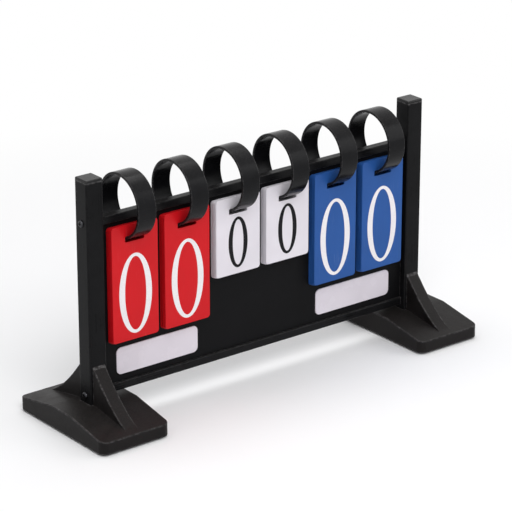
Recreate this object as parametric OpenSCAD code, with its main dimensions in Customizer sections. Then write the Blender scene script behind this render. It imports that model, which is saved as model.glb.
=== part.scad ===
// Tabletop flip scoreboard: two posts on broad feet carry a dark back panel between
// two rails. Six packs of ten numbered cards hang on strap rings that pass round the
// top rail, so that each card swings over the top and down behind the board.
// +Z is up and -Y is the front. The origin is on the table, under the middle.

/* [Cards] */
// Width of every card
card_w = 49; // [42:0.5:56]
// Gap between one card and the next card beside it
card_space = 7.5; // [4:0.5:12]
// Height of the team score cards
score_card_h = 108; // [100:1:116]
// Height of the middle pair of cards
set_card_h = 73.5; // [64:0.5:90]
// Thickness of a card
card_t = 0.6; // [0.4:0.05:0.65]
// Gap between one card of a pack and the next one
card_gap = 0.25; // [0.15:0.05:0.3]
// Gap between the rear card and the back panel
pack_gap = 0.4; // [0.3:0.05:0.8]
// Radius of a card's corners
card_r = 3; // [1:0.5:6]
// Height of the strip of card above the slot
bridge_h = 10.45; // [8:0.05:10.9]
// Gap beside the strap in the slot, on each side
slot_side_gap = 0.7; // [0.4:0.1:1.5]
// Gap between the strap and the top edge of the slot
slot_top_gap = 0.1; // [0.1:0.05:0.3]
// Gap under the strap in the slot of the front card
slot_low_gap = 2.5; // [1:0.1:5]
// Depth of a printed numeral in the face of its card
ink_depth = 0.12; // [0.05:0.01:0.15]

/* [Numerals] */
// Width of a score numeral
score_ink_w = 35; // [24:0.5:40]
// Height of a score numeral
score_ink_h = 75; // [60:0.5:80]
// Width of the upright strokes of a score numeral
score_stroke = 6.2; // [3:0.1:8]
// Width of the thin strokes of a score numeral
score_hair = 3; // [2:0.1:5]
// Width of a numeral of the middle pair
set_ink_w = 21.5; // [16:0.5:30]
// Height of a numeral of the middle pair
set_ink_h = 48.5; // [38:0.5:50]
// Width of the upright strokes of a numeral of the middle pair
set_stroke = 4.7; // [2:0.1:6]
// Width of the thin strokes of a numeral of the middle pair
set_hair = 2.7; // [1.5:0.1:4]
// Distance from the foot of a numeral to the lower edge of its card
ink_foot = 5.5; // [4:0.5:9]

/* [Rings] */
// Inside radius of a strap ring
ring_r = 27.5; // [27.5:0.5:31]
// Thickness of the strap
ring_t = 2.5; // [1.5:0.1:3]
// Width of the strap
ring_w = 19; // [14:0.5:24]
// Width of the split at the bottom of a ring
ring_split = 0.4; // [0.2:0.1:0.8]
// Length of the tab that holds a ring to the back of the panel
ring_tab_h = 16; // [12:0.5:24]
// Play of the strap in its slot through the panel
ring_play = 0.3; // [0.1:0.05:0.6]
// Diameter of a rivet
rivet_d = 3; // [2:0.1:4]
// Diameter of a rivet's head
rivet_head_d = 6.5; // [5:0.1:9]
// Thickness of a rivet's head
rivet_head_t = 1.2; // [0.8:0.1:2]

/* [Frame] */
// Width and depth of a post
post_w = 17.5; // [15:0.5:20]
// Wall thickness of a post
post_wall = 2; // [1.5:0.1:2.5]
// Radius of the upright edges of a post
post_r = 1.5; // [0.5:0.1:2]
// Gap between the outer card and the post beside it
post_gap = 6.75; // [4:0.25:12]
// Height of both rails
rail_h = 7.5; // [6.5:0.25:8.5]
// Depth of both rails
rail_d = 8; // [6:0.25:10]
// Width of the bevel along the edges of the rails
rail_bevel = 0.7; // [0.3:0.1:1.2]
// Distance from the axis of the rings down to the top rail
rail_drop = 5; // [4:0.25:5.5]
// Height of the bottom rail's underside above the table
rail_lift = 26; // [24:0.5:40]
// Thickness of the back panel
panel_t = 3; // [2:0.1:3.4]
// Depth of the grooves in the rails
groove_h = 2; // [1.5:0.1:2.5]
// Length of the panel's edge inside a post
panel_grip = 4; // [3:0.25:5]
// Gap round the panel in its grooves
panel_play = 0.1; // [0.05:0.05:0.2]
// Height of a post cap's head, which stands above the rings
cap_h = 3; // [2.5:0.1:6]
// Width of the bevel round the top of a cap
cap_bevel = 1.2; // [0.5:0.1:2]
// Length of a cap's spigot
spigot_h = 8; // [5:0.5:14]
// Gap between the inside of a post and what fits in it
plug_gap = 0.1; // [0.05:0.05:0.2]
// Length of the plug in the lower end of a post
plug_h = 17; // [16:1:19]
// Diameter of a rail screw
rail_screw_d = 2.6; // [2:0.1:3]
// Length of a rail screw's thread inside the rail
rail_screw_grip = 12; // [8:0.5:20]
// Diameter of a rail screw's head
rail_head_d = 6.4; // [5:0.1:7.5]
// Thickness of a rail screw's head
rail_head_t = 1.6; // [1.2:0.1:2.4]
// Gap round a screw, rivet or pad in its hole
hole_gap = 0.05; // [0.05:0.05:0.2]

/* [Feet] */
// Width of a foot
foot_w = 72; // [60:1:90]
// Depth of a foot, front to back
foot_d = 130; // [110:1:160]
// Height of a foot's outer edge above the table
foot_edge_h = 13; // [12:0.5:16]
// Height of a foot's flat top beside the post
foot_top_h = 22; // [18:0.5:23]
// Depth of the flat top, front to back
foot_flat_d = 30; // [26:1:50]
// Radius of a foot's corners
foot_r = 7; // [4:0.5:12]
// Wall thickness of a foot
foot_wall = 3; // [2.5:0.1:4]
// Width of the fin in front of and behind a post
fin_w = 13; // [8:0.5:16]
// Height of a fin where it meets the post
fin_h = 58; // [40:1:80]
// Distance from the end of a fin to the edge of the foot
fin_inset = 2; // [1:0.5:10]
// Hollowness of a fin's sloping edge, where 1 is straight
fin_curve = 1.5; // [1:0.1:2.5]
// Gap between a post and its socket in the foot
socket_gap = 0.1; // [0.05:0.05:0.2]
// Height of the socket's floor above the table
socket_z = 8; // [7:0.5:10]
// Diameter of a foot screw
foot_screw_d = 4; // [3:0.1:5]
// Length of a foot screw's thread inside the plug
foot_screw_grip = 14; // [8:0.5:15]
// Diameter of a foot screw's head
foot_head_d = 8; // [7:0.1:9]
// Thickness of a foot screw's head
foot_head_t = 2.6; // [2:0.1:3]
// Diameter of a rubber pad
pad_d = 11; // [8:0.5:14]
// Thickness of a rubber pad
pad_t = 2.5; // [2:0.1:3]
// Height of the foot's underside above the table
pad_proud = 1.5; // [1:0.1:1.8]
// Distance from a foot's edges to the middle of a pad
pad_inset = 10; // [9.5:0.5:14]

/* [Name plates] */
// Width of a name plate
plate_w = 89; // [70:1:100]
// Height of a name plate
plate_h = 25.5; // [18:0.5:32]
// Thickness of a name plate
plate_t = 1; // [0.6:0.1:2]
// Radius of a name plate's corners
plate_r = 5; // [2:0.5:8]
// Gap between the bottom rail and the name plates
plate_lift = 6.5; // [3:0.5:12]
// Gap between the name plates and the front score cards
plate_gap = 8.5; // [5:0.5:16]

/* [Hidden] */
$fn = 64;

// Small overlap that lets a cutting shape pass a face
cut = 1;
// Cards in a pack, numbered 0 at the front to 9 at the rear
cards = 10;
last_card = cards - 1;
packs = 6;

black = [0.11, 0.11, 0.115];
soft_black = [0.17, 0.165, 0.165];
rubber_grey = [0.24, 0.24, 0.25];
steel = [0.62, 0.63, 0.65];
red = [0.80, 0.13, 0.13];
blue = [0.19, 0.37, 0.65];
white = [0.90, 0.89, 0.91];

// Places across the board
pitch = card_w + card_space;
function pack_x(i) = (i - (packs - 1) / 2) * pitch;
post_in_x = pack_x(packs - 1) + card_w / 2 + post_gap;
post_x = post_in_x + post_w / 2;
post_out_x = post_in_x + post_w;
plate_x = (pack_x(packs - 2) + pack_x(packs - 1)) / 2;

// Distance of a card's middle plane in front of the board's middle plane
function card_d(k) = panel_t / 2 + pack_gap + card_t / 2 + (last_card - k) * (card_t + card_gap);
// Distances along a card from the level of the ring's axis
function slot_top(k) = sqrt(pow(ring_r, 2) - pow(card_d(k) + card_t / 2, 2)) - slot_top_gap;
function card_start(k) = slot_top(k) - bridge_h;
ring_out = ring_r + ring_t;
slot_h = sqrt(pow(ring_out, 2) - pow(card_d(0) - card_t / 2, 2)) + slot_low_gap - slot_top(0);
slot_w = ring_w + 2 * slot_side_gap;
slot_r = 1;

// Heights above the table
plate_z = rail_lift + rail_h + plate_lift;
card_top_z = plate_z + plate_h + plate_gap + score_card_h;
ring_z = card_top_z + card_start(0);
top_rail_z = ring_z - rail_drop - rail_h;
post_top_z = ring_z + ring_out;
panel_low_z = rail_lift + rail_h - groove_h + panel_play;
panel_high_z = top_rail_z + groove_h - panel_play;
strap_low_z = ring_z - ring_out;
rivet_z = strap_low_z - ring_tab_h / 2;

tube_in = post_w - 2 * post_wall;
pad_x = foot_w / 2 - pad_inset;
pad_y = foot_d / 2 - pad_inset;
socket_w = post_w + 2 * socket_gap;
counterbore_d = foot_head_d + 1;
// Width of the arms of the crossed recess in a screw's head, and their share of its diameter
recess_w = 1;
recess_share = 0.6;
// Ribs under a foot split its hollow into this many pockets on each side
pocket_rows = 3;
pocket_top_z = foot_edge_h - foot_wall;

module rounded_rect(w, h, r) {
  square([w - 2 * r, h], center = true);
  square([w, h - 2 * r], center = true);
  for (sx = [-1, 1], sy = [-1, 1])
    translate([sx * (w / 2 - r), sy * (h / 2 - r)]) circle(r);
}

function bevelled_rect(w, h, b) = [
  [-w / 2 + b, -h / 2], [w / 2 - b, -h / 2], [w / 2, -h / 2 + b], [w / 2, h / 2 - b],
  [w / 2 - b, h / 2], [-w / 2 + b, h / 2], [-w / 2, h / 2 - b], [-w / 2, -h / 2 + b]];

// Stands a flat shape up to face the front, with its rear face at depth y
module upright(y, t) {
  translate([0, y, 0]) rotate([90, 0, 0]) linear_extrude(t) children();
}

// Runs a section drawn in Y and Z along the X axis, centred
module along_x(length) {
  translate([-length / 2, 0, 0]) rotate([90, 0, 90]) linear_extrude(length) children();
}

module rod_x(x, z, d, length) {
  translate([x, 0, z]) rotate([0, 90, 0]) cylinder(d = d, h = length, center = true);
}

module mirrored(side) {
  mirror([side < 0 ? 1 : 0, 0, 0]) children();
}

// Feet, drawn for the right side of the board

function fin_height(t) = foot_edge_h + (fin_h - foot_edge_h) * pow(1 - t, fin_curve);
fin_steps = 10;
fin_end_y = foot_d / 2 - fin_inset;

// Half the outline of a fin, from the middle of the post out to the foot's edge
fin_edge = [for (i = [0 : fin_steps])
  [post_w / 2 + (fin_end_y - post_w / 2) * i / fin_steps, fin_height(i / fin_steps)]];

module fin_profile() {
  for (s = [0, 1]) mirror([s, 0])
    polygon(concat([[0, foot_edge_h - foot_wall], [0, fin_h]], fin_edge,
      [[fin_end_y, foot_edge_h - foot_wall]]));
}

module foot_body() {
  intersection() {
    linear_extrude(foot_top_h) rounded_rect(foot_w, foot_d, foot_r);
    along_x(foot_w) polygon([
      [-foot_d / 2, pad_proud], [foot_d / 2, pad_proud], [foot_d / 2, foot_edge_h],
      [foot_flat_d / 2, foot_top_h], [-foot_flat_d / 2, foot_top_h], [-foot_d / 2, foot_edge_h]]);
  }
  along_x(fin_w) fin_profile();
}

module foot_pockets() {
  inner_w = foot_w / 2 - foot_wall - fin_w / 2;
  inner_d = foot_d - 2 * foot_wall;
  row_d = (inner_d - (pocket_rows - 1) * foot_wall) / pocket_rows;
  core_w = socket_w + 2 * foot_wall;
  difference() {
    for (sx = [-1, 1], row = [0 : pocket_rows - 1])
      translate([sx * (fin_w / 2 + inner_w / 2),
        -inner_d / 2 + row_d / 2 + row * (row_d + foot_wall), 0])
        linear_extrude(pocket_top_z) rounded_rect(inner_w, row_d, foot_r - foot_wall);
    for (sx = [-1, 1], sy = [-1, 1])
      translate([sx * pad_x, sy * pad_y, 0]) cylinder(d = pad_d + 2 * foot_wall, h = foot_edge_h);
    translate([-core_w / 2, -core_w / 2, 0]) cube([core_w, core_w, foot_edge_h]);
  }
}

module foot() {
  color(soft_black) translate([post_x, 0, 0]) difference() {
    foot_body();
    foot_pockets();
    translate([0, 0, socket_z]) linear_extrude(fin_h) square(socket_w, center = true);
    for (sx = [-1, 1], sy = [-1, 1])
      translate([sx * pad_x, sy * pad_y, 0]) cylinder(d = pad_d + 2 * hole_gap, h = pad_t);
    cylinder(d = counterbore_d, h = socket_z - foot_wall);
    cylinder(d = foot_screw_d + 2 * hole_gap, h = socket_z + cut);
  }
}

module foot_pads() {
  color(rubber_grey) translate([post_x, 0, 0])
    for (sx = [-1, 1], sy = [-1, 1])
      translate([sx * pad_x, sy * pad_y, 0]) cylinder(d = pad_d, h = pad_t);
}

module foot_screws() {
  head_z = socket_z - foot_wall;
  color(steel) for (s = [-1, 1]) translate([s * post_x, 0, 0]) {
    difference() {
      translate([0, 0, head_z - foot_head_t]) cylinder(d = foot_head_d, h = foot_head_t);
      translate([0, 0, head_z - foot_head_t - cut])
        for (a = [0, 90]) rotate(a) linear_extrude(cut + foot_head_t / 2)
          square([foot_head_d * recess_share, recess_w], center = true);
    }
    translate([0, 0, head_z]) cylinder(d = foot_screw_d, h = foot_wall + foot_screw_grip);
  }
}

// Posts, drawn for the right side of the board

module post() {
  groove_h_all = panel_high_z - panel_low_z + 2 * panel_play;
  color(black) difference() {
    translate([post_x, 0, socket_z]) linear_extrude(post_top_z - socket_z) difference() {
      rounded_rect(post_w, post_w, post_r);
      square(tube_in, center = true);
    }
    translate([post_in_x - cut, -panel_t / 2 - panel_play, panel_low_z - panel_play])
      cube([post_wall + 2 * cut, panel_t + 2 * panel_play, groove_h_all]);
    for (z = rail_screw_z) rod_x(post_x, z, rail_screw_d + 2 * hole_gap, post_w + 2 * cut);
  }
}

module post_cap() {
  spigot_w = tube_in - 2 * plug_gap;
  color(black) translate([post_x, 0, post_top_z]) {
    intersection() {
      linear_extrude(cap_h) rounded_rect(post_w, post_w, post_r);
      cap_wedge();
      rotate(90) cap_wedge();
    }
    translate([0, 0, -spigot_h]) linear_extrude(spigot_h) square(spigot_w, center = true);
  }
}

module cap_wedge() {
  half = post_w / 2;
  along_x(post_w) polygon([[-half, 0], [half, 0], [half, cap_h - cap_bevel],
    [half - cap_bevel, cap_h], [-half + cap_bevel, cap_h], [-half, cap_h - cap_bevel]]);
}

module post_plug() {
  color(soft_black) translate([post_x, 0, socket_z]) difference() {
    linear_extrude(plug_h) square(tube_in - 2 * plug_gap, center = true);
    translate([0, 0, -cut]) cylinder(d = foot_screw_d + 2 * hole_gap, h = foot_screw_grip + 2 * cut);
  }
}

// Rails and panel

// The screws run through the solid part of each rail, clear of its groove
rail_screw_z = [rail_lift + (rail_h - groove_h) / 2, top_rail_z + (rail_h + groove_h) / 2];
rail_len = 2 * post_in_x;

module rail(z, groove_z, screw_z) {
  color(black) difference() {
    along_x(rail_len) translate([0, z + rail_h / 2])
      polygon(bevelled_rect(rail_d, rail_h, rail_bevel));
    translate([-post_out_x, -panel_t / 2 - panel_play, groove_z])
      cube([2 * post_out_x, panel_t + 2 * panel_play, groove_h + cut]);
    for (s = [-1, 1])
      rod_x(s * post_in_x, screw_z, rail_screw_d + 2 * hole_gap, 2 * (rail_screw_grip + cut));
  }
}

module bottom_rail() {
  rail(rail_lift, rail_lift + rail_h - groove_h, rail_screw_z[0]);
}

module top_rail() {
  rail(top_rail_z, top_rail_z - cut, rail_screw_z[1]);
}

module rail_screws() {
  color(black) for (s = [0, 1], z = rail_screw_z) mirror([s, 0, 0]) {
    shank = post_w + rail_screw_grip;
    rod_x(post_out_x - shank / 2, z, rail_screw_d, shank);
    difference() {
      translate([post_out_x, 0, z]) rotate([0, 90, 0])
        cylinder(d1 = rail_head_d, d2 = rail_head_d * 0.7, h = rail_head_t);
      for (a = [0, 90]) translate([post_out_x + rail_head_t / 2, 0, z]) rotate([a, 0, 0])
        translate([0, -rail_head_d * recess_share / 2, -recess_w / 2])
          cube([rail_head_t, rail_head_d * recess_share, recess_w]);
    }
  }
}

module back_panel() {
  slot_in_w = ring_w + 2 * ring_play;
  color(black) difference() {
    translate([-post_in_x - panel_grip, -panel_t / 2, panel_low_z])
      cube([2 * (post_in_x + panel_grip), panel_t, panel_high_z - panel_low_z]);
    for (i = [0 : packs - 1]) translate([pack_x(i), 0, 0]) {
      translate([-slot_in_w / 2, -panel_t, strap_low_z - ring_play])
        cube([slot_in_w, 2 * panel_t, ring_t + 2 * ring_play]);
      translate([0, 0, rivet_z]) rotate([90, 0, 0])
        cylinder(d = rivet_d + 2 * hole_gap, h = 2 * panel_t, center = true);
    }
  }
}

module name_plate(x) {
  color(white) translate([x, 0, plate_z + plate_h / 2]) upright(-panel_t / 2, plate_t)
    rounded_rect(plate_w, plate_h, plate_r);
}

// Rings and cards

module strap_ring(i) {
  color(black) translate([pack_x(i), 0, 0]) difference() {
    union() {
      difference() {
        rod_x(0, ring_z, 2 * ring_out, ring_w);
        rod_x(0, ring_z, 2 * ring_r, ring_w + 2 * cut);
      }
      translate([-ring_w / 2, panel_t / 2, strap_low_z - ring_tab_h])
        cube([ring_w, ring_t, ring_tab_h + ring_t / 2]);
    }
    translate([-ring_w, -ring_split / 2, strap_low_z - cut])
      cube([2 * ring_w, ring_split, ring_t + 2 * cut]);
    translate([0, panel_t, rivet_z]) rotate([90, 0, 0])
      cylinder(d = rivet_d + 2 * hole_gap, h = 4 * panel_t, center = true);
  }
}

module ring_rivets() {
  color(black) for (i = [0 : packs - 1]) translate([pack_x(i), 0, rivet_z]) {
    translate([0, panel_t / 2 + ring_t, 0]) rotate([90, 0, 0])
      cylinder(d = rivet_d, h = panel_t + ring_t);
    translate([0, panel_t / 2 + ring_t, 0]) rotate([-90, 0, 0])
      cylinder(d1 = rivet_head_d, d2 = rivet_head_d * 0.7, h = rivet_head_t);
  }
}

oval_steps = 40;

module oval(w, h) {
  polygon([for (i = [0 : oval_steps - 1])
    let (a = 360 * i / oval_steps) [w / 2 * cos(a), h / 2 * sin(a)]]);
}

module zero(w, h, stroke, hair) {
  difference() {
    oval(w, h);
    oval(w - 2 * stroke, h - 2 * hair);
  }
}

module one(w, h, stroke, hair) {
  translate([-stroke / 2, -h / 2]) square([stroke, h]);
  translate([-w / 3, -h / 2]) square([2 * w / 3, hair]);
  polygon([[-stroke / 2 - w / 5, h / 2 - 2 * stroke], [-stroke / 2, h / 2 - hair - stroke],
    [0, h / 2 - hair], [0, h / 2], [-hair / 2, h / 2]]);
}

// The bowl is the upper part of an oval, and the tail runs from its right side to the base
module two(w, h, stroke, hair) {
  bowl_h = 0.6 * h;
  bowl_y = (h - bowl_h) / 2;
  intersection() {
    translate([0, bowl_y]) zero(w, bowl_h, stroke, hair);
    polygon([[-w, bowl_y + bowl_h / 8], [0, bowl_y + bowl_h / 8], [0, bowl_y - bowl_h / 4],
      [w, bowl_y - bowl_h / 4], [w, h], [-w, h]]);
  }
  polygon([[w / 2 - stroke - hair / 2, bowl_y - bowl_h / 5], [w / 2 - hair / 2, bowl_y - bowl_h / 5],
    [-w / 2 + stroke, -h / 2 + hair], [-w / 2, -h / 2 + hair]]);
  translate([-w / 2, -h / 2]) square([w, stroke]);
}

module numeral(k, w, h, stroke, hair) {
  if (k == 0) zero(w, h, stroke, hair);
  if (k == 1) one(w, h, stroke, hair);
  if (k == 2) two(w, h, stroke, hair);
}

// Packs 2 and 3 are the short middle pair
function is_set(i) = i == 2 || i == 3;

module card(i, k) {
  h = is_set(i) ? set_card_h : score_card_h;
  ink_w = is_set(i) ? set_ink_w : score_ink_w;
  ink_h = is_set(i) ? set_ink_h : score_ink_h;
  stroke = is_set(i) ? set_stroke : score_stroke;
  hair = is_set(i) ? set_hair : score_hair;
  rear_y = -card_d(k) + card_t / 2;
  top_z = ring_z - card_start(k);
  translate([pack_x(i), 0, top_z]) difference() {
    upright(rear_y, card_t) difference() {
      translate([0, -h / 2]) rounded_rect(card_w, h, card_r);
      translate([0, -bridge_h - slot_h / 2]) rounded_rect(slot_w, slot_h, slot_r);
    }
    if (k < 3) upright(rear_y - card_t + ink_depth, card_t)
      translate([0, -h + ink_foot + ink_h / 2]) numeral(k, ink_w, ink_h, stroke, hair);
  }
}

function pack_colour(i) = is_set(i) ? white : i < 2 ? red : blue;

module front_card(i) {
  color(pack_colour(i)) card(i, 0);
}

module next_card(i) {
  color(pack_colour(i)) card(i, 1);
}

module rear_cards(i) {
  color(pack_colour(i)) for (k = [2 : last_card]) card(i, k);
}

mirrored(-1) foot();  // left_foot
mirrored(1) foot();  // right_foot
mirrored(-1) foot_pads();  // left_foot_pads
mirrored(1) foot_pads();  // right_foot_pads
mirrored(-1) post();  // left_post
mirrored(1) post();  // right_post
mirrored(-1) post_cap();  // left_post_cap
mirrored(1) post_cap();  // right_post_cap
mirrored(-1) post_plug();  // left_post_plug
mirrored(1) post_plug();  // right_post_plug
foot_screws();
rail_screws();
top_rail();
bottom_rail();
back_panel();
name_plate(-plate_x);  // left_name_plate
name_plate(plate_x);  // right_name_plate
strap_ring(0);  // home_tens_ring
strap_ring(1);  // home_ones_ring
strap_ring(2);  // home_sets_ring
strap_ring(3);  // guest_sets_ring
strap_ring(4);  // guest_tens_ring
strap_ring(5);  // guest_ones_ring
ring_rivets();
front_card(0);  // home_tens_card_0
next_card(0);  // home_tens_card_1
rear_cards(0);  // home_tens_cards_2_to_9
front_card(1);  // home_ones_card_0
next_card(1);  // home_ones_card_1
rear_cards(1);  // home_ones_cards_2_to_9
front_card(2);  // home_sets_card_0
next_card(2);  // home_sets_card_1
rear_cards(2);  // home_sets_cards_2_to_9
front_card(3);  // guest_sets_card_0
next_card(3);  // guest_sets_card_1
rear_cards(3);  // guest_sets_cards_2_to_9
front_card(4);  // guest_tens_card_0
next_card(4);  // guest_tens_card_1
rear_cards(4);  // guest_tens_cards_2_to_9
front_card(5);  // guest_ones_card_0
next_card(5);  // guest_ones_card_1
rear_cards(5);  // guest_ones_cards_2_to_9
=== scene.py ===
"""Looks of a tabletop flip scoreboard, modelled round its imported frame. Metres, +Z up, front towards -Y."""

import math
import random

import bmesh
import bpy
from bpy.props import FloatProperty, FloatVectorProperty, IntProperty, PointerProperty
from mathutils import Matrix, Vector


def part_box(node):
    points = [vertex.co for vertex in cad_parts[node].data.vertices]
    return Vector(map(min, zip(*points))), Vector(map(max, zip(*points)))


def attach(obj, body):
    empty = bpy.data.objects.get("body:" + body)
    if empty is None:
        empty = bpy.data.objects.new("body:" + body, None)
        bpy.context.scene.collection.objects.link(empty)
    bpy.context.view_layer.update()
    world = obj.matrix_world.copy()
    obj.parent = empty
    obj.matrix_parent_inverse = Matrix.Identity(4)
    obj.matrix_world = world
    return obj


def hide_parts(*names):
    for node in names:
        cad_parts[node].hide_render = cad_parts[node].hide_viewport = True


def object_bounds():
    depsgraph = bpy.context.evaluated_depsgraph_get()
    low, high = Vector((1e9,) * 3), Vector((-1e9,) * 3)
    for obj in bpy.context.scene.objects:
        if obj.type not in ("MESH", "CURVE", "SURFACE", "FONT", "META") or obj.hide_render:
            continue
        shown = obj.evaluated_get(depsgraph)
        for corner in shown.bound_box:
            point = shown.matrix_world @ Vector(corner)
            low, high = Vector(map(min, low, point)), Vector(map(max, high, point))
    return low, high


bl_info = {
    "name": "Flip Scoreboard",
    "version": (1, 0, 0),
    "blender": (4, 5, 0),
    "location": "3D View > Sidebar > Scoreboard",
    "description": "Models the pieces and finishes of a tabletop flip scoreboard",
    "category": "Object",
}

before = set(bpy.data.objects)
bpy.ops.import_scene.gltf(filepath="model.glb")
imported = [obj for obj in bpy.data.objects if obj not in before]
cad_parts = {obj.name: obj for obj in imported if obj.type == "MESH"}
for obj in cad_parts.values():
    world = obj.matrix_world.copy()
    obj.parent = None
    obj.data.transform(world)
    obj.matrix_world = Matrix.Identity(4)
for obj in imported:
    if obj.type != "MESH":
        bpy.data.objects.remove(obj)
cad_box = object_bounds()

MM = 0.001
PACKS = ["home_tens", "home_ones", "home_sets", "guest_sets", "guest_tens", "guest_ones"]
SIDES = ["left", "right"]
CARDS = 10
FLAT = (0, 0, 0)
# Sides of most rods and holes, of a pad and its seat, of a rivet's shank, and of a screw's shank and hole
ROD_SIDES = 48
PAD_SIDES = 40
RIVET_SIDES = 32
SCREW_SIDES = 24
# Steps round a ring and along half of a fin, and points round a zero
RING_STEPS = 128
FIN_STEPS = 12
OVAL_POINTS = 96
UP = Vector((0, 0, 1))
ACROSS = Vector((1, 0, 0))
DEEP = Vector((0, 1, 0))
# The smallest angle between two faces that counts as a hard edge
HARD = math.radians(40)
# The smallest angle between two faces that counts as square
SQUARE = math.radians(70)
# The smallest angle between two faces of a foot that counts as an edge to round
SLOPE = math.radians(30)
# Two directions count as one when their unit vectors' product is over this
PARALLEL = 0.999
# How far a cutting shape passes the face that it cuts
PASS = 2 * MM
# A point is on a plane when it is this close to it
NEAR = 0.02 * MM
# Height of the dome on a screw or rivet, as a share of its head
DOME = 0.85
# How far a pack's front card may lie off the middle, as a share of what the others may
FRONT_SHUFFLE = 0.4
# Width of the band along the edges of the black plastic that is painted pale, partly as rubbed wear and
# partly as a painted highlight
EDGE_WEAR_AND_HIGHLIGHT_BAND = 1.4 * MM
DUST = (0.30, 0.28, 0.26, 1)
SCUFFED = (0.86, 0.84, 0.84, 1)
# The photograph's viewing angle, in degrees left of straight ahead and above the table, and the
# camera's distance from the middle of the board in metres and its lens in millimetres
VIEW_LEFT = 38
VIEW_UP = 21
VIEW_REACH = 2.4
VIEW_LENS = 186
# Place, width, height and power of each soft lamp
LAMPS = {
    "key": ((-0.6, -1.3, 1.65), 1.2, 1.2, 20),
    "fill": ((1.5, -0.9, 0.9), 1.4, 1.2, 8),
    "top": ((0.1, 0.4, 1.7), 1.6, 1.0, 12),
}
FLOOR_SIZE = 12
# The floor turns to the plain white of the backdrop between these distances from the middle
FLOOR_FADE = (0.30, 0.75)
# Strength of the backdrop as light on the object
BACKDROP_LIGHT = 0.45


def size_of(node):
    low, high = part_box(node)
    return high - low


def centre_of(node):
    low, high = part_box(node)
    return (low + high) / 2


def length(name, text, millimetres):
    return FloatProperty(
        name=name, description=text, default=millimetres * MM, min=0, max=0.5, unit="LENGTH"
    )


def colour(name, text, default):
    return FloatVectorProperty(
        name=name, description=text, default=default, size=3, min=0, max=1, subtype="COLOR"
    )


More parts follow.
